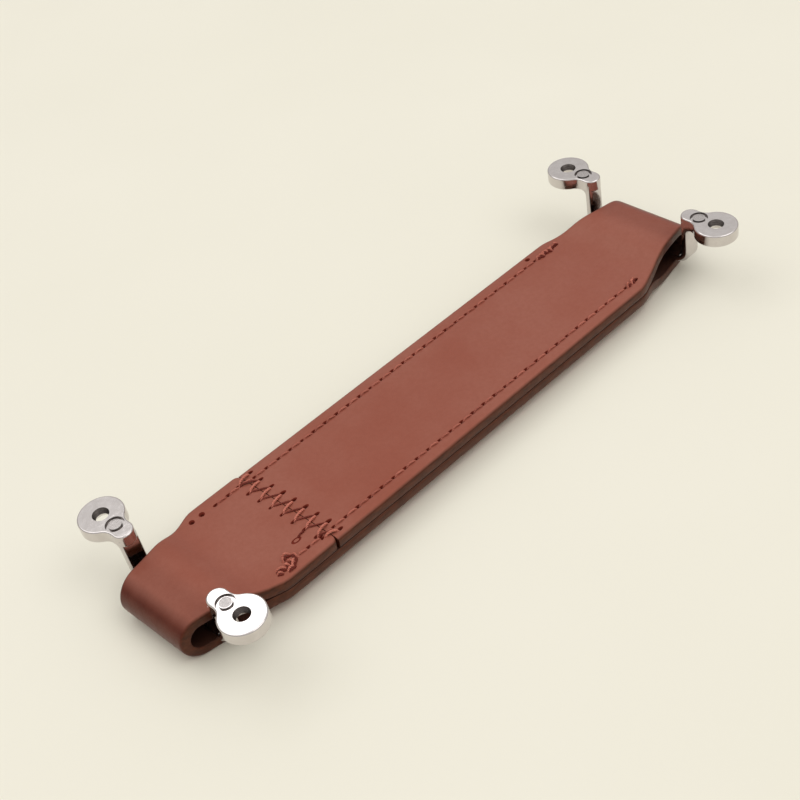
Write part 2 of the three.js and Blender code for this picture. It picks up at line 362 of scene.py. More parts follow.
def fix_normals(piece):
    """Turns the faces outward."""
    shape = bmesh.new()
    shape.from_mesh(piece.data)
    bmesh.ops.recalc_face_normals(shape, faces=shape.faces)
    shape.to_mesh(piece.data)
    shape.free()


def add_solid(name, mesh, material):
    """A closed mesh object, from (vertices, faces), with its faces turned outward."""
    piece = add_object(name, *mesh, material)
    fix_normals(piece)
    return piece


def apply_modifiers(piece):
    bpy.context.view_layer.update()
    graph = bpy.context.evaluated_depsgraph_get()
    result = bpy.data.meshes.new_from_object(piece.evaluated_get(graph))
    piece.modifiers.clear()
    old = piece.data
    piece.data = result
    bpy.data.meshes.remove(old)


def settle(piece, sharp_angle, matrix=Matrix.Identity(4)):
    """Brings a finished piece from millimetres to metres, smooth between its sharp edges."""
    piece.data.transform(Matrix.Scale(MM, 4) @ matrix)
    piece.data.shade_smooth()
    piece.data.set_sharp_from_angle(angle=math.radians(sharp_angle))


def flatten_large_faces(piece):
    """Shading that keeps the wide flat faces flat beside their rounded rims."""
    modifier = piece.modifiers.new("weighted", "WEIGHTED_NORMAL")
    modifier.keep_sharp = True
    modifier.weight = 100
    apply_modifiers(piece)


def combine(piece, other, operation, crossing=False):
    """Joins other to piece, or cuts it away, and removes it; crossing if other crosses itself."""
    modifier = piece.modifiers.new("combine", "BOOLEAN")
    modifier.operation = operation
    modifier.solver = "EXACT"
    modifier.material_mode = "TRANSFER"
    modifier.use_self = crossing
    modifier.object = other
    apply_modifiers(piece)
    bpy.data.objects.remove(other, do_unlink=True)


def merge_meshes(parts):
    """One pair of (vertices, faces) from a list of such pairs."""
    vertices = []
    faces = []
    for part_vertices, part_faces in parts:
        base = len(vertices)
        vertices.extend(part_vertices)
        faces.extend([tuple(base + i for i in face) for face in part_faces])
    return vertices, faces


def tube_faces(levels, sides):
    """Faces of a form whose vertices are rings one after another, with both ends closed."""
    faces = []
    for level in range(levels - 1):
        for k in range(sides):
            n = (k + 1) % sides
            a = level * sides
            b = a + sides
            faces.append((a + k, a + n, b + n, b + k))
    faces.append(tuple(reversed(range(sides))))
    last = (levels - 1) * sides
    faces.append(tuple(range(last, last + sides)))
    return faces


def unit(rows):
    """Each row brought to length 1."""
    return rows / np.linalg.norm(rows, axis=1)[:, None]


class Nodes:
    """A material's nodes, with lengths in millimetres."""

    def __init__(self, name):
        self.material = bpy.data.materials.new(name)
        self.material.use_nodes = True
        self.tree = self.material.node_tree
        self.shader = self.tree.nodes["Principled BSDF"]
        coordinates = self.add("ShaderNodeTexCoord")
        mapping = self.add("ShaderNodeMapping")
        mapping.inputs["Scale"].default_value = (1 / MM, 1 / MM, 1 / MM)
        self.link(coordinates.outputs["Object"], mapping.inputs["Vector"])
        self.place = mapping.outputs["Vector"]

    def add(self, kind, **settings):
        node = self.tree.nodes.new(kind)
        for key, value in settings.items():
            setattr(node, key, value)
        return node

    def link(self, out, into):
        self.tree.links.new(out, into)

    def feed(self, value, socket):
        """Sets a number or colour on the socket, or links a node's output to it."""
        if isinstance(value, (int, float, tuple)):
            socket.default_value = value
        else:
            self.link(value, socket)

    def noise(self, scale, detail=3.0, roughness=0.5, place=None):
        """Noise with scale features per millimetre."""
        node = self.add("ShaderNodeTexNoise")
        node.inputs["Scale"].default_value = scale
        node.inputs["Detail"].default_value = detail
        node.inputs["Roughness"].default_value = roughness
        self.link(place or self.place, node.inputs["Vector"])
        return node.outputs["Fac"]

    def cells(self, scale):
        """Soft cells, scale of them per millimetre."""
        node = self.add("ShaderNodeTexVoronoi", feature="SMOOTH_F1")
        node.inputs["Scale"].default_value = scale
        self.link(self.place, node.inputs["Vector"])
        return node.outputs["Distance"]

    def fit(self, value, low, high, to_low, to_high):
        """The value, brought from the range low to high into to_low to to_high."""
        node = self.add("ShaderNodeMapRange")
        ends = {"From Min": low, "From Max": high, "To Min": to_low, "To Max": to_high}
        for name, number in ends.items():
            node.inputs[name].default_value = number
        self.link(value, node.inputs["Value"])
        return node.outputs["Result"]

    def maths(self, operation, first, second):
        node = self.add("ShaderNodeMath", operation=operation)
        self.feed(first, node.inputs[0])
        self.feed(second, node.inputs[1])
        return node.outputs["Value"]

    def mix(self, factor, first, second):
        node = self.add("ShaderNodeMix", data_type="RGBA")
        self.link(factor, node.inputs["Factor"])
        self.feed(first, node.inputs[MIX_FIRST])
        self.feed(second, node.inputs[MIX_SECOND])
        return node.outputs[MIX_RESULT]

    def attribute(self, name):
        node = self.add("ShaderNodeAttribute", attribute_name=name)
        return node.outputs["Fac"]

    def bump(self, height, distance, strength=1.0, normal=None):
        node = self.add("ShaderNodeBump")
        node.inputs["Strength"].default_value = strength
        node.inputs["Distance"].default_value = distance * MM
        self.link(height, node.inputs["Height"])
        if normal is not None:
            self.link(normal, node.inputs["Normal"])
        return node.outputs["Normal"]

    def set(self, **inputs):
        """Feeds the shader's own sockets."""
        for name, value in inputs.items():
            self.feed(value, self.shader.inputs[name.replace("_", " ")])


def colour(seen):
    """A colour as it is seen on screen, 0 to 255, as linear light."""
    def linear(c):
        c /= 255
        return c / 12.92 if c <= 0.04045 else ((c + 0.055) / 1.055) ** 2.4
    return (*[linear(part) for part in seen], 1.0)


def colours(pair):
    return [colour(seen) for seen in pair]


def leather_material():
    """Smooth leather. The edge attribute is 0 on the face, 1 on painted edges and 2 on the inner face,
    which gets painted shade.
    """
    n = Nodes("strap_leather")
    edge = n.attribute("edge")
    patches = n.noise(0.05, 3, 0.55)
    base = n.mix(n.fit(patches, 0.36, 0.64, 0, 1), *colours(LEATHER_PATCHES))
    fine = n.fit(n.noise(1.1, 5, 0.6), 0.3, 0.7, 0, 0.35)
    base = n.mix(fine, base, colour(LEATHER_GRAIN))
    cloud = n.fit(n.noise(0.25, 4, 0.6), 0.3, 0.7, 0.85, 1)
    # Painted shade on the folds and loops, broken up by noise
    fold_shade = n.maths("MULTIPLY", n.attribute("fold_shade"), cloud)
    base = n.mix(fold_shade, base, colour(LEATHER_FOLD_PAINTED_SHADE))
    streaks = n.add("ShaderNodeMapping")
    streaks.inputs["Scale"].default_value = (0.35, 1.4, 1.4)
    n.link(n.place, streaks.inputs["Vector"])
    paint_noise = n.fit(n.noise(1.0, 4, 0.6, streaks.outputs["Vector"]), 0.3, 0.7, 0, 1)
    paint = n.mix(paint_noise, *colours(EDGE_PAINT))
    base = n.mix(n.fit(edge, 0, 1, 0, 1), base, paint)
    # Painted shade: the inner face, seen only in the loops' hollows, is coloured dark
    base = n.mix(n.fit(edge, 1, 2, 0, 1), base, colour(LEATHER_INSIDE_PAINTED_SHADE))
    wear = n.maths("ADD", n.noise(0.35, 4, 0.6), n.maths("MULTIPLY", n.noise(0.04, 2), 0.8))
    roughness = n.fit(wear, 0.7, 1.1, 0.31, 0.42)
    roughness = n.maths("MAXIMUM", roughness, n.fit(edge, 1, 2, 0, 0.9))
    normal = n.bump(n.noise(0.16, 2, 0.5), 0.12)
    normal = n.bump(n.cells(2.6), 0.02, 0.8, normal)
    normal = n.bump(n.noise(7.0, 4, 0.65), 0.012, 0.8, normal)
    n.set(Base_Color=base, Roughness=roughness, Normal=normal)
    n.set(Specular_IOR_Level=0.36, Specular_Tint=LEATHER_GLOSS)
    return n.material


def hole_shade_material():
    """Raw leather in the needle holes and the scuff's groove, painted dark as the shade in them."""
    n = Nodes("needle_hole_painted_shade")
    shade = n.mix(n.noise(3.0, 3), *colours(HOLE_PAINTED_SHADE))
    n.set(Base_Color=shade, Roughness=0.85, Normal=n.bump(n.noise(5.0, 3), 0.03))
    n.set(Specular_IOR_Level=0.2)
    return n.material


def thread_material():
    """Waxed thread, painted shade on sunk strands (light 0) and painted highlight on raised ones (1).
    """
    n = Nodes("sewing_thread")
    fibre = n.noise(6.0, 4, 0.6)
    strands = n.fit(fibre, 0.3, 0.7, 0, 1)
    dark = n.mix(strands, *colours(THREAD_PAINTED_SHADE))
    light = n.mix(strands, *colours(THREAD_PAINTED_HIGHLIGHT))
    roughness = n.fit(fibre, 0.3, 0.7, 0.45, 0.65)
    # Painted light: sunk strands get the shaded colour, raised ones the highlighted colour
    shade = n.mix(n.attribute("light"), dark, light)
    n.set(Base_Color=shade, Roughness=roughness, Normal=n.bump(n.noise(14.0, 3), 0.02))
    n.set(Specular_IOR_Level=0.25)
    return n.material


def metal_material():
    """Polished and plated casting with faint scratches along the lugs."""
    n = Nodes("polished_casting")
    cloud = n.fit(n.noise(0.4, 4, 0.6), 0.35, 0.65, 0, 1)
    tint = n.mix(cloud, *POLISHED_METAL)
    stretched = n.add("ShaderNodeMapping")
    stretched.inputs["Scale"].default_value = (9, 1.2, 9)
    n.link(n.place, stretched.inputs["Vector"])
    scratches = n.noise(1.0, 5, 0.7, stretched.outputs["Vector"])
    roughness = n.fit(n.noise(2.2, 5, 0.65), 0.3, 0.7, 0.09, 0.18)
    normal = n.bump(n.noise(0.35, 2), 0.05)
    normal = n.bump(scratches, 0.003, 1.0, normal)
    n.set(Base_Color=tint, Metallic=1.0, Roughness=roughness, Normal=normal)
    return n.material


def bore_shade_material():
    """Unpolished metal in the tapped holes and the pin marks' grooves, painted dark as the shade in
    them.
    """
    n = Nodes("tapped_bore_painted_shade")
    tint = n.mix(n.noise(2.0, 4), *BORE_PAINTED_SHADE)
    roughness = n.fit(n.noise(1.5, 3), 0.3, 0.7, 0.3, 0.5)
    normal = n.bump(n.noise(6.0, 3), 0.01)
    n.set(Base_Color=tint, Metallic=1.0, Roughness=roughness, Normal=normal)
    return n.material


def pin_material():
    """The riveted pins' faces, turned and a little rougher than the ground lugs."""
    n = Nodes("pin_face")
    tint = n.mix(n.noise(1.6, 4), *PIN_METAL)
    roughness = n.fit(n.noise(3.0, 4), 0.3, 0.7, 0.2, 0.38)
    normal = n.bump(n.noise(2.4, 4, 0.7), 0.03)
    n.set(Base_Color=tint, Metallic=1.0, Roughness=roughness, Normal=normal)
    return n.material


def floor_material():
    """The stage's floor: a pale, slightly uneven board."""
    n = Nodes("pale_board")
    shade = n.mix(n.noise(0.01, 3), *colours(PALE_BOARD))
    roughness = n.fit(n.noise(0.02, 4), 0.3, 0.7, 0.5, 0.62)
    n.set(Base_Color=shade, Roughness=roughness, Normal=n.bump(n.noise(0.5, 3), 0.02))
    return n.material


# Strap outlines
def half_width(x):
    """Half the strap's width at a place along it: straight, round corner, then a curved taper."""
    body_end = BODY_END_RIGHT if x > 0 else BODY_END_LEFT
    x = abs(x)
    slope = math.atan2(TAPER_DROP, TAPER_REACH)
    start_x = body_end + CORNER_ROUND * math.cos(slope)
    start = (start_x, HALF_WIDTH - CORNER_ROUND * math.sin(slope))
    if x <= body_end - CORNER_ROUND:
        return HALF_WIDTH
    if x < start_x:
        first, last = (body_end - CORNER_ROUND, HALF_WIDTH), start
        control = (body_end, HALF_WIDTH)
    else:
        control = (body_end + TAPER_REACH, HALF_WIDTH - TAPER_DROP)
        first, last = start, (FOLD_END, FOLD_HALF_WIDTH)
    a = first[0] - 2 * control[0] + last[0]
    b = 2 * (control[0] - first[0])
    c = first[0] - min(x, last[0])
    t = -c / b if abs(a) < 1e-9 else (-b + math.sqrt(max(b * b - 4 * a * c, 0))) / (2 * a)
    return (1 - t) ** 2 * first[1] + 2 * t * (1 - t) * control[1] + t * t * last[1]


def flare(x, body, loop):
    """Height of a layer's face above the middle of the strap, between body and loop."""
    start = FLARE_START_RIGHT if x > 0 else FLARE_START_LEFT
    x = abs(x)
    if x <= start:
        return body
    if x >= HOLLOW_START:
        return loop
    middle = 0.5 * (start + HOLLOW_START)
    t = (x - start) / (HOLLOW_START - start)
    # The curve's X isn't even in t, so t is brought nearer step by step
    for _ in range(20):
        at = start * (1 - t) ** 3 + 3 * middle * t * (1 - t) + HOLLOW_START * t ** 3
        t += (x - at) / (HOLLOW_START - start)
        t = min(max(t, 0), 1)
    return body + (loop - body) * (3 * t * t - 2 * t ** 3)


def strip_stations():
    """Pairs of (outer, inner) points in X and Z all along the folded strip, from seam to seam."""
    stations = []

    def layer(x_from, x_to, side):
        count = max(2, int(abs(x_to - x_from) / LAYER_STEP))
        xs = list(np.linspace(x_from, x_to, count + 1))
        way = 1 if x_to > x_from else -1
        if abs(x_from - SEAM_X) <= SEAM_GAP:
            fine = [x_from + way * step for step in SEAM_STEPS]
            xs = fine + [x for x in xs if abs(x - x_from) > SEAM_CLEAR]
        if abs(x_to - SEAM_X) <= SEAM_GAP:
            fine = [x_to - way * step for step in reversed(SEAM_STEPS)]
            xs = [x for x in xs if abs(x - x_to) > SEAM_CLEAR] + fine
        for x in xs:
            stations.append((
                (x, side * flare(x, BODY_HALF, LOOP_HALF)),
                (x, side * flare(x, LAYER_GAP / 2, HOLLOW_HALF)),
            ))

    def fold(side):
        centre = side * FOLD_CENTRE
        for step in range(1, FOLD_STEPS):
            angle = side * math.pi / 2 - math.pi * step / FOLD_STEPS
            along, up = math.cos(angle), math.sin(angle)
            stations.append((
                (centre + LOOP_HALF * along, LOOP_HALF * up),
                (centre + HOLLOW_HALF * along, HOLLOW_HALF * up),
            ))

    layer(SEAM_X + SEAM_GAP / 2, FOLD_CENTRE, 1)
    fold(1)
    layer(FOLD_CENTRE, -FOLD_CENTRE, -1)
    fold(-1)
    layer(-FOLD_CENTRE, SEAM_X - SEAM_GAP / 2, 1)
    return stations


def row_valley(x, y):
    """How far the sewing pulls the surface in, and how far it falls from the row to the edge."""
    past = max(ROW_START - x, x - ROW_START - ROW_LENGTH, 0)
    away = abs(y) - ROW_Y
    pull = SURFACE_PULL * math.exp(-(away / VALLEY_HALF) ** 2 - (past / VALLEY_END) ** 2)
    return pull + EDGE_FALL * (max(0, away - VALLEY_END) / (HALF_WIDTH - ROW_Y)) ** 2


def far_step(x):
    """How much the strip's left end stands out past the rest of the strap at the far edge."""
    if x >= SEAM_X:
        return 0
    return FAR_STEP * min(1, max(0, (FAR_STEP_END + x) / FAR_STEP_FADE))


def across(width):
    """Places across a face, closer together beside the stitch rows."""
    reach = width - OUTER_ROUND
    full = HALF_WIDTH - OUTER_ROUND
    places = [*PLAIN_STEPS, *[ROW_Y + step for step in ROW_STEPS], full - LAST_STEP]
    half = [place / full * reach for place in places] + [reach]
    return [-y for y in reversed(half)] + half[1:]


def fold_shade_share(point):
    """How much painted shade the leather gets: 0 on the body, a little on the loops, 1 where the fold
    turns.
    """
    on_loop = LOOP_SHADE * min(1, max(0, (abs(point[0]) - HOLLOW_START) / LOOP_SHADE_REACH))
    past = max(0, abs(point[0]) - FOLD_CENTRE)
    turned = math.degrees(math.atan2(past, abs(point[1])))
    on_fold = min(1, max(0, (turned - FOLD_SHADE_FROM) / (FOLD_SHADE_TO - FOLD_SHADE_FROM)))
    return on_loop + (1 - on_loop) * on_fold


def edge_section(outer_width, inner_width, thick, rim):
    """The edge at +Y from the outer face to the inner one, as (y, depth, edge attribute)."""
    points = []
    for angle in OUTER_ANGLES:
        a = math.radians(angle)
        y = outer_width - OUTER_ROUND + OUTER_ROUND * math.sin(a)
        depth = rim + OUTER_ROUND * (1 - math.cos(a))
        points.append((y, depth, min(1, PAINT_START + math.sin(a) ** 2)))
    wall = thick - rim - OUTER_ROUND - INNER_ROUND
    for share in WALL_SHARES:
        y = outer_width + (inner_width - outer_width) * share + WALL_SWELL
        points.append((y, rim + OUTER_ROUND + wall * share, 1))
    for angle in INNER_ANGLES:
        a = math.radians(angle)
        y = inner_width - INNER_ROUND + INNER_ROUND * math.sin(a)
        points.append((y, thick - INNER_ROUND * (1 - math.cos(a)), 1 if angle else 2))
    return points


def seam_trim(x):
    """How much the rounded corners of the strip's left end take off its half width."""
    seam_left = SEAM_X - SEAM_GAP / 2
    past = x - (seam_left - SEAM_ROUND)
    if past <= 0 or x > seam_left + 1e-6:
        return 0
    return SEAM_ROUND - math.sqrt(max(SEAM_ROUND ** 2 - past ** 2, 0))


def strap_mesh():
    """Vertices, faces and the edge and painted fold shade attributes of the whole strip before the
    holes.
    """
    vertices = []
    edge_values = []
    fold_shade_values = []
    stations = strip_stations()
    for outer, inner in stations:
        middle_x = 0.5 * (outer[0] + inner[0])
        # Share of painted shade at this station of the folds and loops
        fold_shade = fold_shade_share(outer)
        on_back = outer[1] > 0 and abs(outer[0]) < FOLD_CENTRE
        trim = seam_trim(middle_x) if on_back else 0
        step = far_step(middle_x) if on_back else 0
        outer_width = half_width(outer[0]) - trim
        inner_width = half_width(inner[0]) - trim
        thick = math.dist(outer, inner)
        rim = row_valley(outer[0], outer_width - OUTER_ROUND)
        face = [(y, row_valley(outer[0], y), 0) for y in across(outer_width)]
        edge = edge_section(outer_width, inner_width, thick, rim)
        # 2 marks the inner face, which the leather material colours with painted shade
        inside = [(inner_width * share, thick, 2) for share in INNER_SHARES]
        other_edge = [(-y, depth, paint) for y, depth, paint in reversed(edge)]
        ring = face + edge + inside + other_edge
        for y, depth, paint in ring:
            share = depth / thick
            if y > 0:
                y += step * y / outer_width
            x = outer[0] + (inner[0] - outer[0]) * share
            z = outer[1] + (inner[1] - outer[1]) * share
            vertices.append((x, y, z + MID_HEIGHT))
            edge_values.append(paint)
            fold_shade_values.append(fold_shade)
    return vertices, tube_faces(len(stations), len(ring)), edge_values, fold_shade_values


def row_holes(y, on_back=True):
    """Needle holes of a stitch row as (x, y)."""
    holes = []
    for i in range(ROW_STITCHES + 1):
        x = ROW_START + i * ROW_LENGTH / ROW_STITCHES
        holes.append((x, y + (far_step(x) if on_back and y > 0 else 0)))
    return holes


def zigzag_holes():
    """One crossing more at each end than between the rows: the first and last lie over the rows."""
    holes = []
    for i in range(-1, ZIGZAG_CROSSINGS + 1):
        y = ZIGZAG_FIRST - i * ZIGZAG_PITCH
        holes.append((SEAM_X + ZIGZAG_WIDTH / 2, y))
        back_y = min(y - ZIGZAG_RETURN, HALF_WIDTH - ZIGZAG_INSET)
        holes.append((SEAM_X - ZIGZAG_WIDTH / 2, back_y))
    holes[-1] = (holes[-1][0] + ZIGZAG_LAST_SHIFT, ZIGZAG_LAST_INSET - HALF_WIDTH)
    return holes


def lathe(profile, sides, centre, side=1, stretch=(1, 1)):
    """A closed turned form about an upright line, as (vertices, faces); profile is (radius, height)."""
    vertices = []
    for radius, height in profile:
        for k in range(sides):
            angle = 2 * math.pi * k / sides
            vertices.append((
                centre[0] + radius * stretch[0] * math.cos(angle),
                centre[1] + radius * stretch[1] * math.sin(angle),
                centre[2] + side * height,
            ))
    return vertices, tube_faces(len(profile), sides)


def hole_cutters(holes, surface, side, randomness, stretch=ROW_SLIT):
    """Cutters for the needle holes: slits along the stitches with a rounded mouth."""
    parts = []
    for x, y in holes:
        wide = NEEDLE_SLIT * randomness.uniform(*SLIT_VARIATION)
        profile = [(wide * radius, height) for radius, height in SLIT_PROFILE]
        parts.append(lathe(profile, SLIT_SIDES, (x, y, surface), side, stretch))
    return parts


def ring_mesh(centre, section, around, stretch=(1, 1)):
    """A ring about an upright line, as (vertices, faces); section is a loop of (radius, height)."""
    vertices = []
    faces = []
    sides = len(section)
    for i in range(around):
        angle = 2 * math.pi * i / around
        for radius, height in section:
            vertices.append((
                centre[0] + radius * stretch[0] * math.cos(angle),
                centre[1] + radius * stretch[1] * math.sin(angle),
                height,
            ))
    for i in range(around):
        j = (i + 1) % around
        for k in range(sides):
            m = (k + 1) % sides
            faces.append((i * sides + k, j * sides + k, j * sides + m, i * sides + m))
    return vertices, faces


def scuff_cutter(surface):
    """An oval groove beside the near row's knotted end."""
    section = []
    for k in range(SCUFF_GROOVE_SIDES):
        angle = 2 * math.pi * k / SCUFF_GROOVE_SIDES
        radius = SCUFF_RADIUS + SCUFF_GROOVE * math.cos(angle)
        section.append((radius, surface + SCUFF_RISE + SCUFF_GROOVE * math.sin(angle)))
    return ring_mesh(SCUFF_PLACE, section, SCUFF_SIDES, SCUFF_STRETCH)


def make_strap(leather, hole_shade):
    """The folded strip with all its needle holes and the scuff cut into it."""
    vertices, faces, edge_values, fold_shade_values = strap_mesh()
    strap = add_object("strap", vertices, faces, leather)
    for name, values in (("edge", edge_values), ("fold_shade", fold_shade_values)):
        strap.data.attributes.new(name, "FLOAT", "POINT").data.foreach_set("value", values)
    fix_normals(strap)
    randomness = random.Random(HOLE_SEED)
    parts = []
    back = MID_HEIGHT + BODY_HALF
    front = MID_HEIGHT - BODY_HALF
    for y in (-ROW_Y, ROW_Y):
        bare = BARE_STITCHES["far" if y > 0 else "near"]
        parts += hole_cutters(row_holes(y)[bare:], back - SURFACE_PULL, 1, randomness)
        parts += hole_cutters(row_holes(y, False), front + SURFACE_PULL, -1, randomness)
    parts += hole_cutters(zigzag_holes()[::2], back, 1, randomness, SEAM_SLIT_RIGHT)
    parts += hole_cutters(zigzag_holes()[1::2], back, 1, randomness, SEAM_SLIT_LEFT)
    parts += hole_cutters(STRAY_HOLES, back - SURFACE_PULL, 1, randomness, STRAY_SLIT)
    parts.append(scuff_cutter(back))
    # The cutter's faces carry the painted shade of the holes and the groove
    cutter = add_solid("hole_cutter", merge_meshes(parts), hole_shade)
    combine(strap, cutter, "DIFFERENCE", crossing=True)
    settle(strap, STRAP_SHARP)
    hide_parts("leather_strap")
    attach(strap, "strap")


# Sewing thread
def smooth_path(points):
    """A Catmull-Rom curve through the points, in steps of equal length."""
    p = [np.array(q, float) for q in points]
    p = [2 * p[0] - p[1]] + p + [2 * p[-1] - p[-2]]
    fine = []
    for i in range(1, len(p) - 2):
        for t in np.linspace(0, 1, CURVE_SAMPLES, endpoint=False):
            a, b, c, d = p[i - 1], p[i], p[i + 1], p[i + 2]
            square = (2 * a - 5 * b + 4 * c - d) * t * t
            cube = (3 * b - a - 3 * c + d) * t ** 3
            fine.append(0.5 * (2 * b + (c - a) * t + square + cube))
    fine.append(p[-2])
    fine = np.array(fine)
    pieces = np.linalg.norm(np.diff(fine, axis=0), axis=1)
    lengths = np.concatenate([[0], np.cumsum(pieces)])
    count = max(3, int(lengths[-1] / CURVE_STEP))
    at = np.linspace(0, lengths[-1], count)
    return np.stack([np.interp(at, lengths, fine[:, k]) for k in range(3)], axis=1), at


def twisted_thread(points, radius):
    """Plies wound round each other along the path, each as (vertices, faces)."""
    path, at = smooth_path(points)
    tangent = unit(np.gradient(path, axis=0))
    normal = np.zeros_like(path)
    side = np.cross(tangent[0], OFF_THREAD)
    normal[0] = side / np.linalg.norm(side)
    for i in range(1, len(path)):
        v = normal[i - 1] - tangent[i] * np.dot(normal[i - 1], tangent[i])
        normal[i] = v / np.linalg.norm(v)
    other = np.cross(tangent, normal)
    ply_radius = radius * PLY_SHARE
    offset = radius - ply_radius
    parts = []
    for ply in range(PLIES):
        turn = 2 * np.pi * (at / PLY_PITCH + ply / PLIES)
        centre = path + offset * (np.cos(turn)[:, None] * normal + np.sin(turn)[:, None] * other)
        vertices = []
        for i in range(len(path)):
            for k in range(PLY_SIDES):
                a = 2 * np.pi * k / PLY_SIDES
                outward = np.cos(a) * normal[i] + np.sin(a) * other[i]
                vertices.append(tuple(centre[i] + ply_radius * outward))
        parts.append((vertices, tube_faces(len(path), PLY_SIDES)))
    return parts


def stitch_points(a, b, surface, side, randomness, rise, reach=SLIT_REACH):
    """Path of one stitch over the leather from hole a to hole b, with its ends down the holes.

    Each step is (place along the stitch, height, share of the slant aside).
    """
    a = np.array(a)
    b = np.array(b)
    span = np.linalg.norm(b - a)
    way = (b - a) / span
    cross = np.array([-way[1], way[0]])
    slant = STITCH_SLANT + randomness.uniform(-SLANT_VARIATION, SLANT_VARIATION)
    middle = rise + randomness.uniform(*RISE_VARIATION)
    shoulder = min(reach + SHOULDER_PAST, SHOULDER_SHARE * span)
    mouth = min(reach, MOUTH_SHARE * span)
    points = []
    for along, height, sideways in (
        (STITCH_INSET, -STITCH_DIP, 0.0),
        (mouth, -MOUTH_DIP, 0.3),
        (shoulder, rise * 0.5, 0.9),
        (0.5 * span, middle, 0.0),
        (span - shoulder, rise * 0.5, -0.9),
        (span - mouth, -MOUTH_DIP, -0.3),
        (span - STITCH_INSET, -STITCH_DIP, 0.0),
    ):
        spot = a + way * along + cross * slant * sideways
        points.append((spot[0], spot[1], surface + side * height))
    return points


def make_thread(name, node, stitches, material):
    """One piece from several stitches, each (path, radius, how much painted light it gets)."""
    parts = []
    light = []
    for path, radius, painted_lit in stitches:
        strands = twisted_thread(path, radius)
        parts += strands
        light += [painted_lit] * sum(len(vertices) for vertices, _ in strands)
    vertices, faces = merge_meshes(parts)
    piece = add_object(name, vertices, faces, material)
    piece.data.attributes.new("light", "FLOAT", "POINT").data.foreach_set("value", light)
    settle(piece, THREAD_SHARP)
    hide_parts(node)
    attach(piece, "strap")


def row_stitches(y, surface, side, randomness):
    """A row's stitches on the back (side 1) or on the front (side -1)."""
    holes = row_holes(y, side > 0)
    if side > 0:
        holes = holes[BARE_STITCHES["far" if y > 0 else "near"]:]
    stitches = []
    for a, b in zip(holes, holes[1:]):
        path = stitch_points(a, b, surface, side, randomness, ROW_RISE)
        stitches.append((path, ROW_THREAD, randomness.uniform(*ROW_LIGHT)))
    return stitches


def zigzag_stitches(surface, randomness):
    """Every second stitch lies high with painted highlight, and the one between is drawn in under it
    with painted shade.
    """
    holes = zigzag_holes()
    stitches = []
    for i, (a, b) in enumerate(zip(holes, holes[1:])):
        high = i % 2 == 0
        over_row = max(abs(a[1]), abs(b[1])) > ROW_Y - OVER_ROW_REACH
        rise = (ZIGZAG_RISE if high else SUNK_RISE) + (OVER_ROW_RISE if over_row else 0)
        path = stitch_points(a, b, surface, 1, randomness, rise)
        look = (ZIGZAG_THREAD, ZIGZAG_LIGHT) if high else (SUNK_THREAD, SUNK_LIGHT)
        stitches.append((path, *look))
    path = stitch_points(*LOOSE_END, surface, 1, randomness, LOOSE_RISE, TACK_REACH)
    stitches.append((path, SUNK_THREAD, 0.0))
    return stitches


def tack_stitches(name, surface, randomness):
    """A row's knotted end: strands with painted highlight that cross, each beside a sunk one in painted
    shade.
    """
    stitches = []
    for i, (a, b) in enumerate(TACKS[name]):
        rise = TACK_RISE + TACK_RISE_STEP * (i % 3)
        path = stitch_points(a, b, surface, 1, randomness, rise, TACK_REACH)
        stitches.append((path, TACK_THREAD, randomness.uniform(*TACK_LIGHT)))
        a, b = np.array(a), np.array(b)
        along = b - a
        aside = np.array([along[1], -along[0]]) / np.linalg.norm(along) * TACK_SPACING
        aside *= -1 if aside[1] > 0 else 1
        path = stitch_points(a + aside, b + aside, surface, 1, randomness, SUNK_RISE, TACK_REACH)
        stitches.append((path, TACK_THREAD, 0.0))
    return stitches


def make_threads(material):
    """Both rows on the back with their knotted ends, both on the front, and the zigzag."""
    randomness = random.Random(THREAD_SEED)
    back = MID_HEIGHT + BODY_HALF
    front = MID_HEIGHT - BODY_HALF
    for label, y in (("near", -ROW_Y), ("far", ROW_Y)):
        stitches = row_stitches(y, back - SURFACE_PULL, 1, randomness)
        for tack in TACKS:
            if tack.startswith(label):
                stitches += tack_stitches(tack, back, randomness)
        make_thread(f"row_thread_{label}_back", f"edge_thread_{label}_back", stitches, material)
        stitches = row_stitches(y, front + SURFACE_PULL, -1, randomness)
        make_thread(f"row_thread_{label}_front", f"edge_thread_{label}_front", stitches, material)
    make_thread("zigzag_thread", "seam_thread", zigzag_stitches(back, randomness), material)


# Brackets
def rounded_prism(outline, low, high, rounding):
    """A slab with rounded rims on the outline, a closed list of (x, y) running anticlockwise."""
    points = np.array(outline)
    ahead = np.roll(points, -1, axis=0) - points
    behind = points - np.roll(points, 1, axis=0)
    along = unit(ahead) + unit(behind)
    outward = unit(np.stack([along[:, 1], -along[:, 0]], axis=1))
    levels = []
    steps = LUG_EDGE_STEPS
    for k in range(steps + 1):
        angle = math.pi / 2 * k / steps
        levels.append((rounding * (1 - math.sin(angle)), low + rounding * (1 - math.cos(angle))))
    for k in range(steps, -1, -1):
        angle = math.pi / 2 * k / steps
        levels.append((rounding * (1 - math.sin(angle)), high - rounding * (1 - math.cos(angle))))
    vertices = []
    for inset, height in levels:
        ring = points - outward * inset
        vertices += [(p[0], p[1], height) for p in ring]
    return vertices, tube_faces(len(levels), len(points))


def arc(cx, cy, radius, start, stop, count):
    """Points on an arc about (cx, cy), with both of its ends."""
    points = []
    for k in range(count + 1):
        angle = start + (stop - start) * k / count
        points.append((cx + radius * math.cos(angle), cy + radius * math.sin(angle)))
    return points


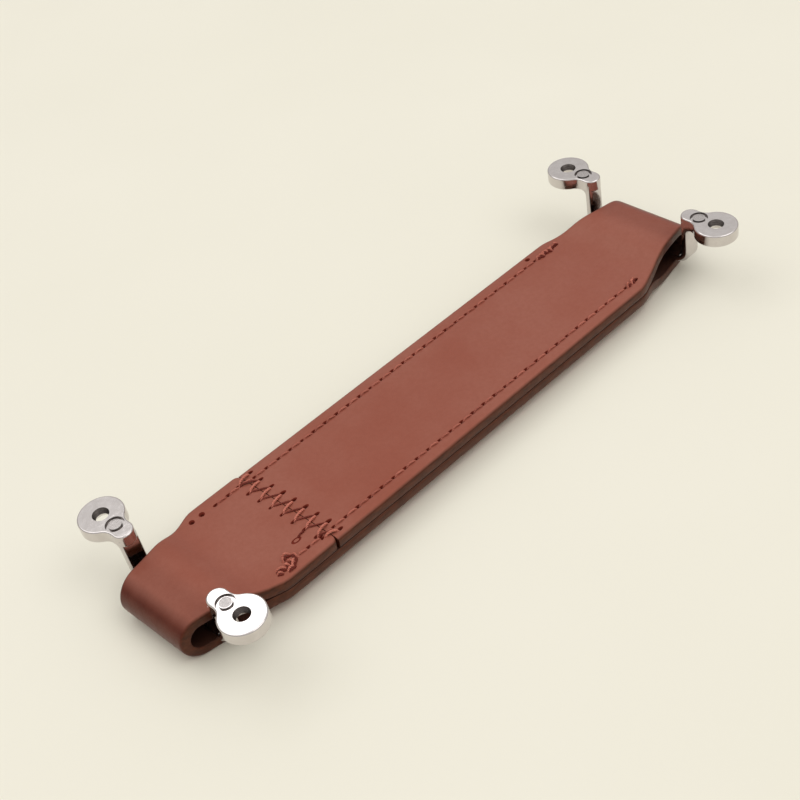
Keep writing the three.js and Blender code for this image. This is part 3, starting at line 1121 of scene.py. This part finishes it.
def lug_outline(side):
    """The keyhole outline of a lug: neck end, hollow flares and disc."""
    flare_x = NECK_RADIUS + FLARE_RADIUS
    reach = DISC_RADIUS + FLARE_RADIUS
    flare_y = SCREW_Y - math.sqrt(reach ** 2 - flare_x ** 2)
    turn = math.acos(flare_x / reach)
    points = arc(0, NECK_Y, NECK_RADIUS, math.pi, 2 * math.pi, NECK_STEPS)
    points += arc(flare_x, flare_y, FLARE_RADIUS, math.pi, math.pi - turn, FLARE_STEPS)
    points += arc(0, SCREW_Y, DISC_RADIUS, -turn, math.pi + turn, DISC_STEPS)[1:]
    points += arc(-flare_x, flare_y, FLARE_RADIUS, turn, 0, FLARE_STEPS)[1:-1]
    if side < 0:
        points = [(x, -y) for x, y in reversed(points)]
    return points


def yoke_mesh():
    """Crossbar and legs: a rounded bar section carried along a U in Y and Z."""
    bar_z = -BAR_DROP
    leg_top = LUG_TOP - LUG_THICKNESS / 2
    corner_y = LEG_MIDDLE - CORNER_RADIUS
    corner_z = bar_z + CORNER_RADIUS
    right_half = [(y, bar_z) for y in np.linspace(0, corner_y, BAR_STEPS, endpoint=False)]
    right_half += arc(corner_y, corner_z, CORNER_RADIUS, -math.pi / 2, 0, BEND_STEPS)
    right_half += [(LEG_MIDDLE, z) for z in np.linspace(corner_z, leg_top, LEG_STEPS)[1:]]
    path = np.array([(-y, z) for y, z in reversed(right_half[1:])] + right_half)
    tangent = unit(np.gradient(path, axis=0))
    outward = np.stack([tangent[:, 1], -tangent[:, 0]], axis=1)
    under = LUG_TOP - LUG_THICKNESS
    vertices = []
    for (y, z), n in zip(path, outward):
        widen = 0
        if z > under - LUG_ROOT:
            below = min(max(under - z, 0), LUG_ROOT)
            widen = LUG_ROOT - math.sqrt(LUG_ROOT ** 2 - (LUG_ROOT - below) ** 2)
        half = BAR_THICKNESS / 2
        corner_x = BAR_WIDTH / 2 - BAR_EDGE
        corners = (
            (corner_x, half + widen - BAR_EDGE, 0),
            (-corner_x, half + widen - BAR_EDGE, 90),
            (-corner_x, -half + BAR_EDGE, 180),
            (corner_x, -half + BAR_EDGE, 270),
        )
        ring = []
        for cx, cn, start in corners:
            for turn in BAR_CORNER_ANGLES:
                angle = math.radians(start + turn)
                ring.append((cx + BAR_EDGE * math.cos(angle), cn + BAR_EDGE * math.sin(angle)))
        vertices += [(x, y + out * n[0], z + out * n[1]) for x, out in ring]
    return vertices, tube_faces(len(path), len(ring))


def tap_profile():
    """The tapped hole: thread grooves in its upper part, and a smooth countersink below them."""
    profile = [(TAP_CREST + TAP_PAST, LUG_TOP + TAP_PAST), (TAP_CREST, TAP_TOP)]
    for turn in range(TAP_TURNS):
        profile.append((TAP_CORE, TAP_TOP - TAP_PITCH * (turn + 0.5)))
        profile.append((TAP_CREST, TAP_TOP - TAP_PITCH * (turn + 1)))
    profile.append((TAP_CORE, TAP_END))
    profile.append((TAP_SINK, LUG_TOP - LUG_THICKNESS))
    profile.append((TAP_SINK, LUG_TOP - LUG_THICKNESS - TAP_PAST))
    return profile


def give_material(piece, material, choose):
    """A second material for the chosen faces."""
    piece.data.materials.append(material)
    for face in piece.data.polygons:
        if choose(face):
            face.material_index = 1


def cut_tapped_hole(bracket, side, metal, bore_shade_metal):
    """The hole gets painted shade where it is threaded, and the lug's own metal in its countersink."""
    mesh = lathe(tap_profile(), TAP_SIDES, (0, side * SCREW_Y, 0))
    tap = add_solid("tap", mesh, bore_shade_metal)
    give_material(tap, metal, lambda face: face.center.z < TAP_END)
    combine(bracket, tap, "DIFFERENCE")


def cut_pin_mark(bracket, side, metal, bore_shade_metal, pin_metal):
    """A groove, its walls painted dark as shade, round the shallow dish of a riveted pin's face."""
    centre = (0, side * PIN_MARK_Y)
    high = LUG_TOP + PIN_MARK_PAST
    low = LUG_TOP - PIN_MARK_DEPTH
    outer, inner = PIN_MARK_RADIUS, PIN_RADIUS
    section = ((outer, high), (outer, low), (inner, low), (inner, high))
    ring = add_solid("ring", ring_mesh(centre, section, PIN_MARK_SIDES), bore_shade_metal)
    give_material(ring, metal, lambda face: abs(face.normal.z) > 0.5)
    combine(bracket, ring, "DIFFERENCE")
    bottom = LUG_TOP - PIN_DISH
    dish = [(PIN_DISH_RIM, high), (PIN_DISH_FOOT, bottom), (PIN_DISH_CENTRE, bottom)]
    pin = add_solid("pin", lathe(dish, PIN_SIDES, (*centre, 0)), pin_metal)
    combine(bracket, pin, "DIFFERENCE")


def make_bracket(name, node, body, place, lean, metal, bore_shade_metal, pin_metal):
    """Joins lugs and yoke, cuts holes and marks, and stands the bracket on its hinge."""
    bracket = add_solid(name, yoke_mesh(), metal)
    for side in (-1, 1):
        prism = rounded_prism(lug_outline(side), LUG_TOP - LUG_THICKNESS, LUG_TOP, LUG_EDGE)
        combine(bracket, add_solid("lug", prism, metal), "UNION")
    for side in (-1, 1):
        cut_tapped_hole(bracket, side, metal, bore_shade_metal)
        cut_pin_mark(bracket, side, metal, bore_shade_metal, pin_metal)
    hinge = Matrix.Translation(Vector((place, 0, MID_HEIGHT)))
    settle(bracket, METAL_SHARP, hinge @ Matrix.Rotation(math.radians(lean), 4, "Y"))
    flatten_large_faces(bracket)
    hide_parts(node)
    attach(bracket, body)


# Stage
def make_world():
    """Studio light from above that falls off towards the horizon, and a plain pale background."""
    world = bpy.data.worlds.new("studio")
    bpy.context.scene.world = world
    world.use_nodes = True
    tree = world.node_tree
    background = tree.nodes["Background"]
    background.inputs["Strength"].default_value = 1.0
    direction = tree.nodes.new("ShaderNodeTexCoord")
    parts = tree.nodes.new("ShaderNodeSeparateXYZ")
    tree.links.new(direction.outputs["Generated"], parts.inputs["Vector"])
    ramp = tree.nodes.new("ShaderNodeMapRange")
    ramp.interpolation_type = "SMOOTHSTEP"
    ramp.inputs["From Min"].default_value = 0.0
    ramp.inputs["From Max"].default_value = GRADIENT_TOP
    ramp.inputs["To Min"].default_value = HORIZON_LIGHT
    ramp.inputs["To Max"].default_value = ZENITH_LIGHT
    tree.links.new(parts.outputs["Z"], ramp.inputs["Value"])
    warm = tree.nodes.new("ShaderNodeVectorMath")
    warm.operation = "SCALE"
    warm.inputs[0].default_value = WARM_WHITE
    tree.links.new(ramp.outputs["Result"], warm.inputs["Scale"])
    seen = tree.nodes.new("ShaderNodeLightPath")
    choice = tree.nodes.new("ShaderNodeMix")
    choice.data_type = "RGBA"
    choice.inputs[MIX_SECOND].default_value = BACKGROUND
    tree.links.new(seen.outputs["Is Camera Ray"], choice.inputs["Factor"])
    tree.links.new(warm.outputs["Vector"], choice.inputs[MIX_FIRST])
    tree.links.new(choice.outputs[MIX_RESULT], background.inputs["Color"])


def add_light(name, kind, place, target):
    """A light at a place in metres, turned to its target."""
    data = bpy.data.lights.new(name, kind)
    light = bpy.data.objects.new(name, data)
    light.location = place
    direction = Vector(target) - Vector(place)
    light.rotation_euler = direction.to_track_quat("-Z", "Y").to_euler()
    bpy.context.scene.collection.objects.link(light)
    return data


def make_stage():
    """Floor, world and lights."""
    half = HALF_FLOOR
    corners = [(-half, -half, 0), (half, -half, 0), (half, half, 0), (-half, half, 0)]
    mesh = bpy.data.meshes.new("floor")
    mesh.from_pydata(corners, [], [(0, 1, 2, 3)])
    mesh.materials.append(floor_material())
    floor = bpy.data.objects.new("floor", mesh)
    bpy.context.scene.collection.objects.link(floor)
    make_world()
    wide_lights = (("key_light", KEY_FROM, KEY_LIGHT), ("fill_light", FILL_FROM, FILL_LIGHT))
    for name, place, strength in wide_lights:
        light = add_light(name, "SUN", place, (0, 0, 0))
        light.energy = strength
        light.angle = math.radians(LIGHT_WIDTH)
    glint = add_light("lug_glint", "AREA", GLINT_PLACE, GLINT_TARGET)
    glint.energy = GLINT_POWER
    glint.size = GLINT_SIZE


def main():
    bpy.context.scene.view_settings.view_transform = "Standard"
    make_camera()
    make_stage()
    metal = metal_material()
    bore_shade = bore_shade_material()
    pin = pin_material()
    make_strap(leather_material(), hole_shade_material())
    make_threads(thread_material())
    for label in ("left", "right"):
        joint = next(j for j in frame["joints"] if j["name"] == f"{label}_bracket_swing")
        place = joint["pos_m"][0] / MM
        names = (f"{label}_cast_bracket", f"bracket_{label}", f"{label}_bracket")
        make_bracket(*names, place, BRACKET_LEAN[label], metal, bore_shade, pin)


main()
